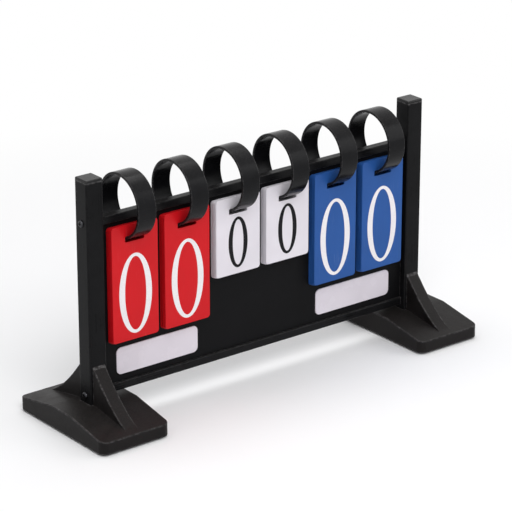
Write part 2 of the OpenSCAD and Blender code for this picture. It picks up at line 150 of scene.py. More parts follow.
class ScoreboardSizes(bpy.types.PropertyGroup):
    foot_edge_height: length("Foot edge height", "Height of a foot's outer edge", 13)
    foot_top_height: length("Foot top height", "Height of a foot's flat top", 22)
    foot_flat_depth: length("Foot flat depth", "Depth of a foot's flat top", 30)
    foot_corner: length("Foot corner", "Radius of a foot's upright corners", 7)
    foot_edge: length("Foot edge", "Radius of a foot's moulded edges", 1.3)
    foot_low_edge: length("Foot low edge", "Radius round a foot's underside", 0.6)
    foot_lift: length("Foot lift", "Height of a foot's underside", 1.5)
    foot_wall: length("Foot wall", "Wall thickness of a foot", 3)
    pad_width: length("Pad width", "Diameter of a rubber pad", 11)
    pad_edge: length("Pad edge", "Radius round the lower end of a rubber pad", 0.5)
    counterbore: length("Counterbore", "Diameter of the hole for a foot screw's head", 9)
    fin_width: length("Fin width", "Width of the fin through a foot", 13)
    fin_inset: length("Fin inset", "Distance from a fin's end to the foot's edge", 2)
    fin_curve: FloatProperty(
        name="Fin curve", description="Hollowness of a fin's edge, where 1 is straight",
        default=1.5, min=1, max=3,
    )
    socket_gap: length("Socket gap", "Gap between a post and its socket", 0.1)
    socket_height: length("Socket height", "Height of a socket's floor", 8)
    post_wall: length("Post wall", "Wall thickness of a post", 2)
    post_edge: length("Post edge", "Radius of a post's upright edges", 1.5)
    cap_head: length("Cap head", "Height of a post cap's head", 3)
    cap_edge: length("Cap edge", "Radius round the top of a post cap", 1.2)
    spigot_gap: length("Spigot gap", "Gap round a cap's spigot in its post", 0.1)
    rail_edge: length("Rail edge", "Radius of a rail's long edges", 0.7)
    groove_depth: length("Groove depth", "Depth of the panel's groove in a rail", 2)
    panel_play: length("Panel play", "Gap round the panel in its grooves", 0.1)
    panel_edge: length("Panel edge", "Width of the bevel round a slot in the panel", 0.25)
    hole_gap: length("Hole gap", "Gap round a screw, rivet or pad in its hole", 0.05)
    rivet: length("Rivet", "Diameter of a rivet's shank", 3)
    rail_screw: length("Rail screw", "Diameter of a rail screw's shank", 2.6)
    rail_screw_length: length("Rail screw length", "Length of a rail screw under its head", 29.5)
    foot_screw: length("Foot screw", "Diameter of a foot screw's shank", 4)
    foot_screw_head: length("Foot screw head", "Height of a foot screw's head", 2.6)
    recess_width: length("Recess width", "Width of the arms of a screw's crossed recess", 1)
    recess_reach: FloatProperty(
        name="Recess reach", description="Reach of the arms of a crossed recess, as a share of the head",
        default=0.6, min=0, max=0.8,
    )
    recess_floor: FloatProperty(
        name="Recess floor", description="Height of the floor of a crossed recess, as a share of the head",
        default=0.4, min=0, max=0.9,
    )
    plate_corner: length("Plate corner", "Radius of a name plate's corners", 5)
    plate_edge: length("Plate edge", "Radius round the face of a name plate", 0.35)
    strap_thickness: length("Strap thickness", "Thickness of a strap ring", 2.5)
    strap_edge: length("Strap edge", "Radius of a strap's edges", 0.6)
    tab_corner: length("Tab corner", "Radius of a strap tab's lower corners", 3)
    strap_play: length("Strap play", "Gap round a strap in its slot in the panel", 0.3)
    strap_split: length("Strap split", "Width of the split in a strap ring", 0.4)
    card_corner: length("Card corner", "Radius of a card's corners", 3)
    card_edge: length("Card edge", "Width of the bevel round a card", 0.09)
    slot_side: length("Slot side gap", "Gap beside a strap in a card's slot", 0.7)
    slot_top: length("Slot top gap", "Gap over a strap in a card's slot", 0.1)
    slot_low: length("Slot low gap", "Gap under a strap in the front card's slot", 2.5)
    slot_corner: length("Slot corner", "Radius of a slot's corners", 1)
    card_shuffle: length("Card shuffle", "Furthest that a card lies off the middle of its pack", 0.28)
    ink_thickness: length("Ink thickness", "Height of the printed ink over a card", 0.05)
    score_ink_width: length("Score numeral width", "Width of a score numeral", 35)
    score_ink_height: length("Score numeral height", "Height of a score numeral", 75)
    score_stroke: length("Score stroke", "Width of a score numeral's upright strokes", 6.2)
    score_hair: length("Score hairline", "Width of a score numeral's thin strokes", 3)
    set_ink_width: length("Set numeral width", "Width of a middle numeral", 21.5)
    set_ink_height: length("Set numeral height", "Height of a middle numeral", 48.5)
    set_stroke: length("Set stroke", "Width of a middle numeral's upright strokes", 4.7)
    set_hair: length("Set hairline", "Width of a middle numeral's thin strokes", 2.7)
    ink_foot: length("Numeral foot", "Distance from a numeral to its card's lower edge", 5.5)
    shuffle_seed: IntProperty(name="Shuffle seed", description="Picks how the cards lie", default=7)


class ScoreboardColours(bpy.types.PropertyGroup):
    frame_black: colour("Frame black", "Colour of the posts and rails", (0.0060, 0.0060, 0.0066))
    panel_black: colour("Panel black", "Colour of the back panel", (0.0048, 0.0048, 0.0054))
    foot_black: colour("Foot black", "Colour of the feet", (0.0088, 0.0075, 0.0075))
    strap_black: colour("Strap black", "Colour of the strap rings", (0.0055, 0.0055, 0.0064))
    # Pale edge colour of the black plastic: rubbed wear, and also a painted highlight along the edges
    wear_and_highlight_grey: colour("Wear and highlight grey", "Colour of rubbed edges on the black plastic", (0.100, 0.096, 0.098))
    card_red: colour("Card red", "Colour of the home cards", (0.58, 0.0066, 0.0115))
    card_blue: colour("Card blue", "Colour of the guest cards", (0.021, 0.089, 0.315))
    # The middle cards' white is toned down to a light grey, partly as painted shade
    card_white: colour("Card white", "Colour of the middle cards", (0.72, 0.69, 0.74))
    ink_white: colour("White ink", "Colour of the score numerals", (0.84, 0.81, 0.83))
    ink_black: colour("Black ink", "Colour of the middle numerals", (0.0066, 0.0060, 0.0076))
    plate_white: colour("Plate white", "Colour of the name plates", (0.70, 0.655, 0.715))
    pad_grey: colour("Pad grey", "Colour of the rubber pads", (0.030, 0.030, 0.032))
    steel: colour("Steel", "Colour of the screws under the feet", (0.56, 0.57, 0.60))
    black_steel: colour("Black steel", "Colour of the screws in the posts", (0.055, 0.055, 0.060))
    floor: colour("Floor", "Colour of the floor", (0.90, 0.90, 0.91))


def sizes():
    return bpy.context.scene.scoreboard_sizes


def colours():
    return bpy.context.scene.scoreboard_colours


# Selecting and shaping

def take(*objects):
    """Selects only these objects, the last of them active."""
    for other in bpy.context.selected_objects:
        other.select_set(False)
    for obj in objects:
        obj.select_set(True)
        bpy.context.view_layer.objects.active = obj


def settle(obj):
    """Puts an object's place, turn and scale into its mesh."""
    take(obj)
    bpy.ops.object.transform_apply(location=True, rotation=True, scale=True)
    return obj


def edit(obj):
    take(obj)
    bpy.ops.object.mode_set(mode="EDIT")


def leave():
    bpy.ops.object.mode_set(mode="OBJECT")


def pick_all():
    bpy.ops.mesh.select_all(action="SELECT")


def pick(obj, kind, rule):
    """Selects the verts, edges or faces of the mesh in edit mode that pass the rule."""
    bpy.ops.mesh.select_mode(type=kind)
    bpy.ops.mesh.select_all(action="DESELECT")
    mesh = bmesh.from_edit_mesh(obj.data)
    for part in {"VERT": mesh.verts, "EDGE": mesh.edges, "FACE": mesh.faces}[kind]:
        if rule(part):
            part.select_set(True)
    mesh.select_flush_mode()
    bmesh.update_edit_mesh(obj.data)


def runs_along(edge, axis):
    """True for an edge that lies along an axis."""
    line = edge.verts[1].co - edge.verts[0].co
    return line.length > NEAR and abs(line.normalized().dot(axis)) > PARALLEL


def is_hard(edge, angle=HARD):
    return edge.is_manifold and edge.calc_face_angle() > angle


def along(axis):
    """A rule for the edges that lie along an axis."""
    return lambda e: runs_along(e, axis)


def rim(way, limit):
    """A rule for the hard edges that lie wholly past a limit in one direction."""
    return lambda e: is_hard(e) and all(v.co.dot(way) > limit for v in e.verts)


def block(name, low, high):
    """A cube primitive between two corners."""
    take()
    low, high = Vector(low), Vector(high)
    bpy.ops.mesh.primitive_cube_add(size=1, location=(low + high) / 2, scale=high - low)
    obj = bpy.context.object
    obj.name = name
    return settle(obj)


def rod(name, place, radius, depth, axis=UP, sides=ROD_SIDES):
    """A cylinder primitive along an axis."""
    take()
    turn = UP.rotation_difference(axis).to_euler()
    bpy.ops.mesh.primitive_cylinder_add(
        vertices=sides, radius=radius, depth=depth, location=place, rotation=turn
    )
    obj = bpy.context.object
    obj.name = name
    return settle(obj)


def sized(obj, width, height):
    """Gives a flat primitive of size 1 its width and height, and settles it."""
    obj.scale = (width, height, 1)
    return settle(obj)


def round_edges(obj, rule, radius, steps=3):
    """Bevels the edges that pass the rule."""
    edit(obj)
    pick(obj, "EDGE", rule)
    bpy.ops.mesh.bevel(offset=radius, segments=steps, affect="EDGES", clamp_overlap=True)
    leave()
    return obj


def apply_boolean(obj, other, operation):
    """Unites obj with another solid or cuts the other out of it, and deletes the other."""
    take(obj)
    modifier = obj.modifiers.new("shape", "BOOLEAN")
    modifier.operation = operation
    modifier.solver = "EXACT"
    modifier.object = other
    bpy.ops.object.modifier_apply(modifier=modifier.name)
    bpy.data.objects.remove(other)
    return obj


def join(name, parts):
    """Joins solids to one object."""
    take(*parts)
    bpy.ops.object.join()
    obj = bpy.context.object
    obj.name = name
    return obj


def copy_of(obj, name, shift=FLAT):
    """A copy with its own mesh, moved by shift."""
    twin = obj.copy()
    twin.data = obj.data.copy()
    twin.name = name
    bpy.context.scene.collection.objects.link(twin)
    twin.location = shift
    return settle(twin)


def tidy_mesh(obj):
    """Merges doubles and points every face outwards."""
    edit(obj)
    pick_all()
    bpy.ops.mesh.remove_doubles(threshold=0.002 * MM)
    bpy.ops.mesh.normals_make_consistent(inside=False)
    leave()
    return obj


def finish_piece(obj, body, slot, look, *nodes):
    """Shades a piece with its large faces flat, gives it its finish and seats it on its body."""
    take(obj)
    bpy.ops.object.shade_smooth_by_angle(angle=HARD)
    modifier = obj.modifiers.new("normals", "WEIGHTED_NORMAL")
    modifier.keep_sharp = True
    bpy.ops.object.modifier_apply(modifier=modifier.name)
    obj.data.name = obj.name
    obj.data.materials.clear()
    obj.data.materials.append(finish(look))
    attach(obj, body)
    if nodes:
        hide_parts(*nodes)
    return obj


# Effects that several finishes share

def new_group(name, inputs, outputs):
    group = bpy.data.node_groups.new(name, "ShaderNodeTree")
    for label, kind, default in inputs:
        group.interface.new_socket(label, in_out="INPUT", socket_type=kind).default_value = default
    for label, kind in outputs:
        group.interface.new_socket(label, in_out="OUTPUT", socket_type=kind)
    return group, group.nodes.new("NodeGroupInput"), group.nodes.new("NodeGroupOutput")


def add_node(tree, kind, **values):
    node = tree.nodes.new(kind)
    for key, value in values.items():
        setattr(node, key, value)
    return node


def feed(tree, socket, value):
    """Links a socket to another node's, or sets it to a plain value."""
    if isinstance(value, bpy.types.NodeSocket):
        tree.links.new(value, socket)
    else:
        socket.default_value = value


def maths(tree, operation, *values):
    """A Math node over each value in turn. A value is a socket or a number."""
    result = values[0]
    for value in values[1:]:
        node = add_node(tree, "ShaderNodeMath", operation=operation)
        feed(tree, node.inputs[0], result)
        feed(tree, node.inputs[1], value)
        result = node.outputs[0]
    return result


def scaled(tree, tone, factor):
    """A colour made lighter or darker by a factor."""
    node = add_node(tree, "ShaderNodeVectorMath", operation="SCALE")
    feed(tree, node.inputs[0], tone)
    feed(tree, node.inputs["Scale"], factor)
    return node.outputs[0]


def ramp_between(tree, value, low, high, to_low=0.0, to_high=1.0):
    """Maps low..high to to_low..to_high, clamped."""
    node = add_node(tree, "ShaderNodeMapRange", clamp=True)
    tree.links.new(value, node.inputs["Value"])
    for label, number in (("From Min", low), ("From Max", high), ("To Min", to_low), ("To Max", to_high)):
        node.inputs[label].default_value = number
    return node.outputs["Result"]


def mix_colour(tree, amount, first, second):
    node = add_node(tree, "ShaderNodeMix", data_type="RGBA")
    factor, below, above = (node.inputs[i] for i in (0, 6, 7))
    feed(tree, factor, amount)
    feed(tree, below, first)
    feed(tree, above, second)
    return node.outputs[2]


def noise(tree, scale, detail=2.0, rough=0.5, stretch=None):
    """Noise on object coordinates, a factor of about 0 to 1. Scale is a socket or a number per metre."""
    place = add_node(tree, "ShaderNodeTexCoord").outputs["Object"]
    if stretch:
        turn = add_node(tree, "ShaderNodeMapping")
        turn.inputs["Scale"].default_value = stretch
        tree.links.new(place, turn.inputs["Vector"])
        place = turn.outputs["Vector"]
    node = add_node(tree, "ShaderNodeTexNoise")
    node.inputs["Detail"].default_value = detail
    node.inputs["Roughness"].default_value = rough
    tree.links.new(place, node.inputs["Vector"])
    feed(tree, node.inputs["Scale"], scale)
    return node.outputs["Fac"]


def grain_group():
    """Fine grain of a moulded surface over a slow waviness, as a height."""
    group, given, out = new_group(
        "Moulded grain",
        [("Grain Scale", "NodeSocketFloat", 1500), ("Wave Scale", "NodeSocketFloat", 40),
         ("Wave Share", "NodeSocketFloat", 0.4)],
        [("Height", "NodeSocketFloat")],
    )
    fine = noise(group, given.outputs["Grain Scale"], 3, 0.6)
    slow = noise(group, given.outputs["Wave Scale"], 1, 0.4)
    wave = maths(group, "MULTIPLY", slow, given.outputs["Wave Share"])
    group.links.new(maths(group, "ADD", fine, wave), out.inputs["Height"])
    return group


def wear_and_highlight_group():
    """Mottled colour, outer edges painted pale partly as rubbed wear and partly as a painted highlight, and
    dust on what faces up and in the inner corners.
    """
    group, given, out = new_group(
        "Worn plastic and painted edge highlight",
        [("Colour", "NodeSocketColor", (0.02, 0.02, 0.02, 1)),
         ("Rubbed Colour", "NodeSocketColor", (0.08, 0.08, 0.08, 1)),
         ("Rub", "NodeSocketFloat", 0.5), ("Edge Width", "NodeSocketFloat", EDGE_WEAR_AND_HIGHLIGHT_BAND),
         ("Dust", "NodeSocketFloat", 0.1), ("Roughness", "NodeSocketFloat", 0.4),
         ("Mottle Scale", "NodeSocketFloat", 60)],
        [("Colour", "NodeSocketColor"), ("Roughness", "NodeSocketFloat")],
    )
    mottle = noise(group, given.outputs["Mottle Scale"], 4, 0.55)
    mottled = scaled(group, given.outputs["Colour"], ramp_between(group, mottle, 0.3, 0.7, 0.80, 1.20))
    # Looking into the solid, the other faces of an outer edge are near, also where it is rounded
    inward = add_node(group, "ShaderNodeAmbientOcclusion", samples=8, inside=True, only_local=True)
    group.links.new(given.outputs["Edge Width"], inward.inputs["Distance"])
    edge = ramp_between(group, inward.outputs["AO"], 0.88, 0.66)
    hollow = add_node(group, "ShaderNodeAmbientOcclusion", samples=6, only_local=True)
    hollow.inputs["Distance"].default_value = 6 * MM
    open_side = ramp_between(group, hollow.outputs["AO"], 0.62, 0.86)
    inner_corner = ramp_between(group, hollow.outputs["AO"], 0.80, 0.45)
    broken = ramp_between(group, noise(group, 380, 4, 0.7), 0.40, 0.62)
    # Pale outer edges: partly rubbed wear, partly a painted highlight along the edges
    rubbed_and_highlit = maths(group, "MULTIPLY", edge, broken, given.outputs["Rub"], open_side)
    geometry = add_node(group, "ShaderNodeNewGeometry")
    upright = add_node(group, "ShaderNodeSeparateXYZ")
    group.links.new(geometry.outputs["Normal"], upright.inputs[0])
    facing_up = ramp_between(group, upright.outputs["Z"], 0.4, 1.0)
    settled = maths(group, "MAXIMUM", facing_up, inner_corner)
    speckle = ramp_between(group, noise(group, 900, 5, 0.75), 0.42, 0.72)
    dusty = maths(group, "MULTIPLY", settled, speckle, given.outputs["Dust"])
    worn_and_highlit = mix_colour(group, rubbed_and_highlit, mottled, given.outputs["Rubbed Colour"])
    group.links.new(mix_colour(group, dusty, worn_and_highlit, DUST), out.inputs["Colour"])
    uneven = ramp_between(group, mottle, 0.3, 0.7, -0.07, 0.07)
    rough = maths(
        group, "ADD", given.outputs["Roughness"], uneven,
        maths(group, "MULTIPLY", rubbed_and_highlit, 0.12), maths(group, "MULTIPLY", dusty, 0.4),
    )
    group.links.new(rough, out.inputs["Roughness"])
    return group


def drawn_group():
    """Faint lines left along a drawn tube or rail, as a value about 0. Stretch is small along the length."""
    group, given, out = new_group(
        "Drawn lines",
        [("Stretch", "NodeSocketVector", (1, 1, 1)), ("Amount", "NodeSocketFloat", 0.1)],
        [("Lines", "NodeSocketFloat")],
    )
    place = add_node(group, "ShaderNodeTexCoord")
    drawn_out = add_node(group, "ShaderNodeVectorMath", operation="MULTIPLY")
    group.links.new(place.outputs["Object"], drawn_out.inputs[0])
    group.links.new(given.outputs["Stretch"], drawn_out.inputs[1])
    lines = add_node(group, "ShaderNodeTexNoise")
    lines.inputs["Scale"].default_value = 1100
    lines.inputs["Detail"].default_value = 3
    group.links.new(drawn_out.outputs[0], lines.inputs["Vector"])
    level = ramp_between(group, lines.outputs["Fac"], 0.3, 0.7, -1, 1)
    group.links.new(maths(group, "MULTIPLY", level, given.outputs["Amount"]), out.inputs["Lines"])
    return group


def scuff_group():
    """Thin rubbed lines along one direction and a few faint smudges, as masks."""
    group, given, out = new_group(
        "Handling scuffs",
        [("Amount", "NodeSocketFloat", 0.3)],
        [("Lines", "NodeSocketFloat"), ("Smudge", "NodeSocketFloat")],
    )
    upright = ramp_between(group, noise(group, 30, 5, 0.7, stretch=(40, 4, 1.2)), 0.60, 0.70)
    slanted = ramp_between(group, noise(group, 24, 5, 0.7, stretch=(3, 4, 50)), 0.62, 0.72)
    both = maths(group, "MAXIMUM", upright, maths(group, "MULTIPLY", slanted, 0.6))
    patch = ramp_between(group, noise(group, 28, 2, 0.5), 0.45, 0.65)
    group.links.new(maths(group, "MULTIPLY", both, patch, given.outputs["Amount"]), out.inputs["Lines"])
    smudge = ramp_between(group, noise(group, 55, 3, 0.6), 0.5, 0.72)
    group.links.new(maths(group, "MULTIPLY", smudge, given.outputs["Amount"]), out.inputs["Smudge"])
    return group


def group_node(tree, group, **values):
    node = add_node(tree, "ShaderNodeGroup", node_tree=group)
    for key, value in values.items():
        node.inputs[key.replace("_", " ")].default_value = value
    return node


def shared(name, build):
    return bpy.data.node_groups.get(name) or build()


def new_material(name):
    material = bpy.data.materials.new(name)
    material.use_nodes = True
    tree = material.node_tree
    return material, tree, tree.nodes["Principled BSDF"]


def add_bump(tree, shader, height, strength, depth):
    bump = add_node(tree, "ShaderNodeBump")
    bump.inputs["Strength"].default_value = strength
    bump.inputs["Distance"].default_value = depth
    tree.links.new(height, bump.inputs["Height"])
    tree.links.new(bump.outputs["Normal"], shader.inputs["Normal"])


def rgba(value):
    return (*value, 1)


# Finishes

def black_plastic(
    name, tone, roughness, grain, depth, gloss=0.25, edge_wear_and_highlight=0.5, edge=EDGE_WEAR_AND_HIGHLIGHT_BAND, dust=0.06, mottle=60, drawn=None
):
    """Moulded black plastic. Grain is its scale per metre and depth the height of its bumps.

    Edge is the width of its pale edges, painted partly as rubbed wear and partly as a highlight, and drawn
    the stretch of the lines on a drawn tube or rail."""
    material, tree, shader = new_material(name)
    worn_and_highlit = group_node(
        tree, shared("Worn plastic and painted edge highlight", wear_and_highlight_group), Colour=rgba(tone), Rubbed_Colour=rgba(colours().wear_and_highlight_grey),
        Rub=edge_wear_and_highlight, Edge_Width=edge, Dust=dust, Roughness=roughness, Mottle_Scale=mottle,
    )
    tree.links.new(worn_and_highlit.outputs["Colour"], shader.inputs["Base Color"])
    rough = worn_and_highlit.outputs["Roughness"]
    bumps = group_node(tree, shared("Moulded grain", grain_group), Grain_Scale=grain, Wave_Scale=35)
    height = bumps.outputs["Height"]
    if drawn:
        lines = group_node(tree, shared("Drawn lines", drawn_group), Stretch=drawn, Amount=0.06)
        rough = maths(tree, "ADD", rough, lines.outputs["Lines"])
        height = maths(tree, "ADD", height, maths(tree, "MULTIPLY", lines.outputs["Lines"], 4))
    tree.links.new(rough, shader.inputs["Roughness"])
    add_bump(tree, shader, height, 0.6, depth)
    shader.inputs["Specular IOR Level"].default_value = gloss
    return material


def sheet_plastic(name, tone, roughness=0.36, scuffed=0.22, pale=0.5):
    """Dyed sheet plastic, faintly wavy and lightly handled. Pale is how far scuffs whiten it."""
    material, tree, shader = new_material(name)
    scuffs = group_node(tree, shared("Handling scuffs", scuff_group), Amount=scuffed)
    tinted = scaled(tree, tone, ramp_between(tree, noise(tree, 22, 2, 0.5), 0.3, 0.7, 0.95, 1.05))
    whitened = maths(tree, "MULTIPLY", scuffs.outputs["Lines"], pale)
    tree.links.new(mix_colour(tree, whitened, tinted, SCUFFED), shader.inputs["Base Color"])
    rough = maths(tree, "ADD", maths(tree, "MULTIPLY", scuffs.outputs["Smudge"], 0.35), roughness)
    tree.links.new(rough, shader.inputs["Roughness"])
    bumps = group_node(
        tree, shared("Moulded grain", grain_group), Grain_Scale=2600, Wave_Scale=60, Wave_Share=1.5
    )
    add_bump(tree, shader, bumps.outputs["Height"], 0.5, 0.05 * MM)
    shader.inputs["Specular IOR Level"].default_value = 0.16
    return material


def ink(name, tone, gloss):
    """Screen-printed ink, matt and very slightly thin in places."""
    material, tree, shader = new_material(name)
    thin = ramp_between(tree, noise(tree, 700, 4, 0.6), 0.3, 0.7, 0.93, 1.03)
    tree.links.new(scaled(tree, tone, thin), shader.inputs["Base Color"])
    rough = ramp_between(tree, noise(tree, 90, 2, 0.5), 0.3, 0.7, 0.44, 0.56)
    tree.links.new(rough, shader.inputs["Roughness"])
    bumps = group_node(tree, shared("Moulded grain", grain_group), Grain_Scale=3200, Wave_Scale=200)
    add_bump(tree, shader, bumps.outputs["Height"], 0.4, 0.02 * MM)
    shader.inputs["Specular IOR Level"].default_value = gloss
    return material


def screw_steel(name, tone):
    """Plated or blackened steel with fine turning marks."""
    material, tree, shader = new_material(name)
    marks = noise(tree, 60, 3, 0.6, stretch=(1, 1, 30))
    tint = ramp_between(tree, marks, 0.3, 0.7, 0.85, 1.1)
    tree.links.new(scaled(tree, tone, tint), shader.inputs["Base Color"])
    tree.links.new(ramp_between(tree, marks, 0.3, 0.7, 0.24, 0.42), shader.inputs["Roughness"])
    shader.inputs["Metallic"].default_value = 1
    add_bump(tree, shader, marks, 0.3, 0.03 * MM)
    return material


def finish(name):
    """The finish of that name, made the first time that it is asked for."""
    found = bpy.data.materials.get(name)
    if found:
        return found
    tones = colours()
    makers = {
        "post_tube": lambda n: black_plastic(
            n, tones.frame_black, 0.34, 1500, 0.06 * MM, gloss=0.075, edge_wear_and_highlight=0.7, drawn=(1, 1, 0.01)),
        "rail_bar": lambda n: black_plastic(
            n, tones.frame_black, 0.32, 1500, 0.06 * MM, gloss=0.10, edge_wear_and_highlight=0.7, drawn=(0.01, 1, 1)),
        "cap_moulding": lambda n: black_plastic(
            n, tones.frame_black, 0.28, 1300, 0.06 * MM, gloss=0.22, edge_wear_and_highlight=0.9),
        "panel_board": lambda n: black_plastic(
            n, tones.panel_black, 0.52, 850, 0.16 * MM, gloss=0.075, edge_wear_and_highlight=0.2, mottle=30),
        # The feet's wide pale edges are partly wear and partly a painted highlight along their top edges
        "foot_moulding": lambda n: black_plastic(
            n, tones.foot_black, 0.46, 900, 0.16 * MM, gloss=0.115, edge_wear_and_highlight=1.0, edge=2.2 * MM),
        "strap_moulding": lambda n: black_plastic(
            n, tones.strap_black, 0.21, 1500, 0.04 * MM, gloss=0.11, edge_wear_and_highlight=0.8),
        "red_sheet": lambda n: sheet_plastic(n, tones.card_red, scuffed=0.20, pale=0.30),
        "blue_sheet": lambda n: sheet_plastic(n, tones.card_blue, scuffed=0.24, pale=0.35),
        "white_sheet": lambda n: sheet_plastic(n, tones.card_white, scuffed=0.16, pale=0.2),
        "plate_sheet": lambda n: sheet_plastic(n, tones.plate_white, 0.26, scuffed=0.18, pale=0.2),
        "white_ink": lambda n: ink(n, tones.ink_white, 0.25),
        "black_ink": lambda n: ink(n, tones.ink_black, 0.12),
        "soft_rubber": lambda n: black_plastic(n, tones.pad_grey, 0.82, 1400, 0.12 * MM, edge_wear_and_highlight=0.2, dust=0.3),
        "plated_steel": lambda n: screw_steel(n, tones.steel),
        "black_steel": lambda n: screw_steel(n, tones.black_steel),
    }
    return makers[name](name)


# Feet

def fin_height(share):
    """Height of a fin's edge, from the post at 0 to the foot's edge at 1."""
    s = sizes()
    fin_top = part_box("left_foot")[1].z
    return s.foot_edge_height + (fin_top - s.foot_edge_height) * (1 - share) ** s.fin_curve


def foot_base(name, low, high):
    """The sloped base of a foot: a block, cut across and lowered at its ends."""
    s = sizes()
    base = block(name, (low.x, low.y, s.foot_lift), (high.x, high.y, s.foot_top_height))
    edit(base)
    for side in (-1, 1):
        pick_all()
        bpy.ops.mesh.bisect(plane_co=(0, side * s.foot_flat_depth / 2, 0), plane_no=DEEP)
    flat = s.foot_flat_depth / 2 + NEAR
    pick(base, "VERT", lambda v: v.co.z > s.foot_lift + NEAR and abs(v.co.y) > flat)
    bpy.ops.transform.translate(value=(0, 0, s.foot_edge_height - s.foot_top_height))
    leave()
    front, back = low.y + NEAR, high.y - NEAR
    return round_edges(
        base, lambda e: runs_along(e, UP) and not front < e.verts[0].co.y < back, s.foot_corner, steps=8
    )


def foot_fin(name, x, depth):
    """The fin through the middle of a foot: a strip whose top row is raised to a hollow curve."""
    s = sizes()
    post_half = size_of("left_post").y / 2
    start_z = s.foot_edge_height - s.foot_wall
    end_y = depth / 2 - s.fin_inset
    half = s.fin_width / 2
    fin = block(name, (x - half, -end_y, start_z), (x + half, end_y, s.foot_edge_height))
    cuts = [post_half + (end_y - post_half) * i / FIN_STEPS for i in range(FIN_STEPS)]
    edit(fin)
    for y in cuts + [-y for y in cuts]:
        pick_all()
        bpy.ops.mesh.bisect(plane_co=(0, y, 0), plane_no=DEEP)
    for i, y in enumerate(cuts):
        pick(fin, "VERT", lambda v: v.co.z > start_z + NEAR and abs(abs(v.co.y) - y) < NEAR)
        bpy.ops.transform.translate(value=(0, 0, fin_height(i / FIN_STEPS) - s.foot_edge_height))
    leave()
    return fin


def pad_places(side):
    """Places of the middles of a foot's four pads, on the table."""
    low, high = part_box(f"{side}_foot_pads")
    radius = sizes().pad_width / 2
    return [(x, y, 0) for x in (low.x + radius, high.x - radius) for y in (low.y + radius, high.y - radius)]


def pocket_cutter(side):
    """The hollows under a foot: rounded blocks in three rows, less what carries the pads and the socket."""
    s = sizes()
    low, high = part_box(f"{side}_foot")
    x = (low.x + high.x) / 2
    rows = 3
    inner_d = high.y - low.y - 2 * s.foot_wall
    row_d = (inner_d - (rows - 1) * s.foot_wall) / rows
    ceiling = s.foot_edge_height - s.foot_wall
    shapes = []
    for sign in (-1, 1):
        near, far = sorted((x + sign * s.fin_width / 2, x + sign * ((high.x - low.x) / 2 - s.foot_wall)))
        for row in range(rows):
            y = -inner_d / 2 + row * (row_d + s.foot_wall)
            shape = block("pocket", (near, y, -PASS), (far, y + row_d, ceiling))
            shapes.append(round_edges(shape, along(UP), s.foot_corner - s.foot_wall, steps=5))
    hollows = join("hollows", shapes)
    boss = s.pad_width / 2 + s.foot_wall
    solids = [rod("boss", place, boss, 4 * s.foot_edge_height) for place in pad_places(side)]
    half = size_of("left_post").x / 2 + s.socket_gap + s.foot_wall
    solids.append(block("core", (x - half, -half, -2 * PASS), (x + half, half, s.foot_edge_height)))
    return apply_boolean(hollows, join("solids", solids), "DIFFERENCE")


def hole_cutter(side):
    """The shallow seats of a foot's pads, and the stepped hole of its screw."""
    s = sizes()
    x = centre_of(f"{side}_foot").x
    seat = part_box("foot_screws")[0].z + s.foot_screw_head
    depth = 2 * size_of(f"{side}_foot_pads").z
    radius = s.pad_width / 2 + s.hole_gap
    holes = [rod("seat", place, radius, depth, sides=PAD_SIDES) for place in pad_places(side)]
    holes.append(rod("counterbore", (x, 0, 0), s.counterbore / 2, 2 * seat))
    cutter = join("holes", holes)
    tall = s.socket_height
    shank = rod("shank", (x, 0, tall / 2), s.foot_screw / 2 + s.hole_gap, 2 * tall, sides=SCREW_SIDES)
    return apply_boolean(cutter, shank, "UNION")


class SCOREBOARD_OT_feet(bpy.types.Operator):
    """Models the two sloped feet with their fins, sockets and hollow undersides"""

    bl_idname = "scoreboard.feet"
    bl_label = "Feet"

    def execute(self, context):
        s = sizes()
        for side in SIDES:
            low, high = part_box(f"{side}_foot")
            x = (low.x + high.x) / 2
            foot = foot_base(f"{side}_moulded_foot", low, high)
            apply_boolean(foot, foot_fin("fin", x, high.y - low.y), "UNION")
            half = size_of("left_post").x / 2 + s.socket_gap
            socket = block("socket", (x - half, -half, s.socket_height), (x + half, half, high.z + PASS))
            apply_boolean(foot, socket, "DIFFERENCE")
            tidy_mesh(foot)
            top = s.foot_edge_height - s.foot_wall + NEAR
            round_edges(
                foot,
                lambda e: is_hard(e, SLOPE) and max(v.co.z for v in e.verts) > top
                and max(abs(v.co.y) for v in e.verts) > half + NEAR,
                s.foot_edge,
            )
            round_edges(foot, rim(-UP, -s.foot_lift - NEAR), s.foot_low_edge, steps=2)
            for cutter in (pocket_cutter(side), hole_cutter(side)):
                apply_boolean(foot, cutter, "DIFFERENCE")
            finish_piece(tidy_mesh(foot), "frame", "foot_plastic", "foot_moulding", f"{side}_foot")
        return {"FINISHED"}


class SCOREBOARD_OT_foot_pads(bpy.types.Operator):
    """Models the rubber pads under the feet"""

    bl_idname = "scoreboard.foot_pads"
    bl_label = "Foot pads"

    def execute(self, context):
        s = sizes()
        for side in SIDES:
            thick = size_of(f"{side}_foot_pads").z
            pads = []
            for x, y, _ in pad_places(side):
                pad = rod("pad", (x, y, thick / 2), s.pad_width / 2, thick, sides=PAD_SIDES)
                pads.append(round_edges(pad, rim(-UP, -NEAR), s.pad_edge))
            pads = join(f"{side}_rubber_pads", pads)
            finish_piece(pads, "frame", "pad_rubber", "soft_rubber", f"{side}_foot_pads")
        return {"FINISHED"}


# Posts, rails and panel

def post_tube(name, low, high):
    """A square tube with rounded edges: the ends are inset, opened and bridged."""
    s = sizes()
    tube = block(name, low, high)
    round_edges(tube, along(UP), s.post_edge, steps=4)
    edit(tube)
    pick(tube, "FACE", lambda f: abs(f.normal.z) > PARALLEL)
    bpy.ops.mesh.inset(thickness=s.post_wall, use_even_offset=True)
    bpy.ops.mesh.bridge_edge_loops()
    leave()
    return tube


